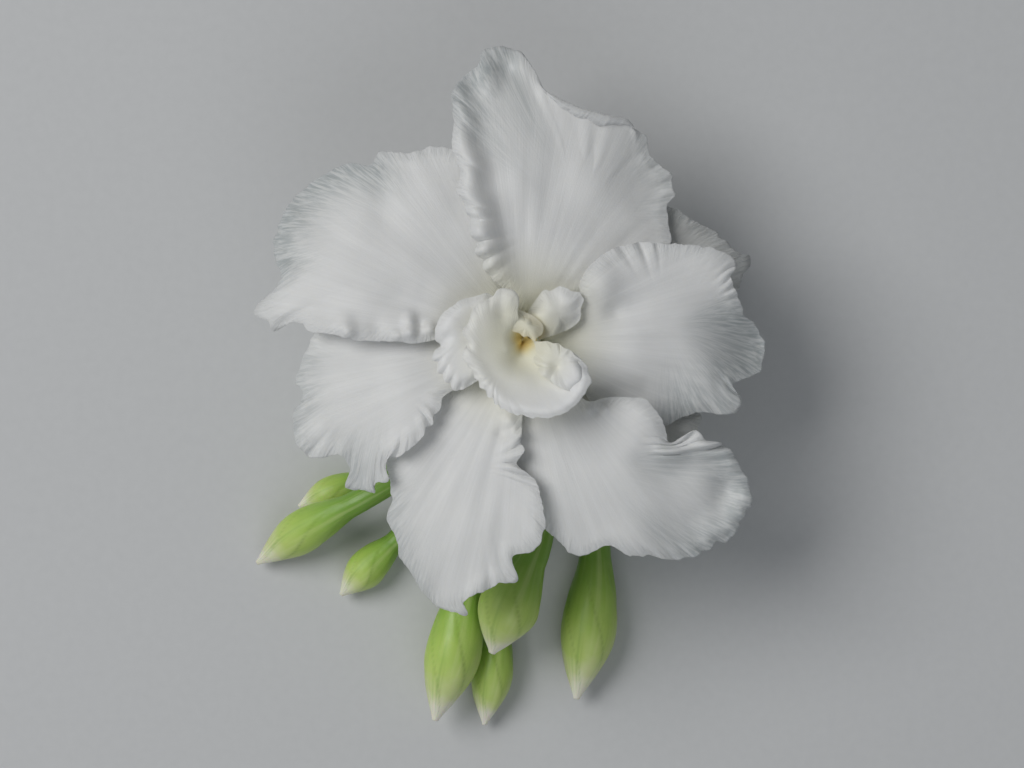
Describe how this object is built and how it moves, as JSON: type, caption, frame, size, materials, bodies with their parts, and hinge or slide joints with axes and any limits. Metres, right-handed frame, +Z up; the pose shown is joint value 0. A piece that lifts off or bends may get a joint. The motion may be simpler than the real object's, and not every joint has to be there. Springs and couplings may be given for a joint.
{
  "type": "crepe jasmine flower",
  "caption": "Double crepe jasmine flower picked with its cluster of closed green buds: white ruffled petals in a pinwheel round an inner whorl, on a short cut stem.",
  "frame": {"origin": "middle of the cluster's outline, on the surface that it lies on", "axes": "+Z up, out of the open flower's face; +Y from the buds' tips towards the top petal"},
  "size_m": [0.0562, 0.0742, 0.0311],
  "materials": {
    "petal": "matte",
    "inner_petal": "matte",
    "tube": "satin",
    "bud": "satin",
    "stem": "satin"
  },
  "bodies": {
    "root": {"corolla_tube": "tube", "petal_right": "petal", "petal_top": "petal", "petal_upper_left": "petal", "petal_lower_left": "petal", "petal_bottom": "petal", "petal_lower_right": "petal", "back_petal_1": "petal", "back_petal_2": "petal", "back_petal_3": "petal", "back_petal_4": "petal", "back_petal_5": "petal", "inner_petal_left": "inner_petal", "inner_petal_cup": "inner_petal", "inner_petal_curl": "inner_petal", "inner_petal_throat": "inner_petal", "inner_petal_lobe": "inner_petal", "bud_1": "bud", "bud_2": "bud", "bud_3": "bud", "bud_4": "bud", "bud_5": "bud", "bud_6": "bud", "bud_7": "bud", "cyme_stem": "stem"}
  },
  "joints": []
}
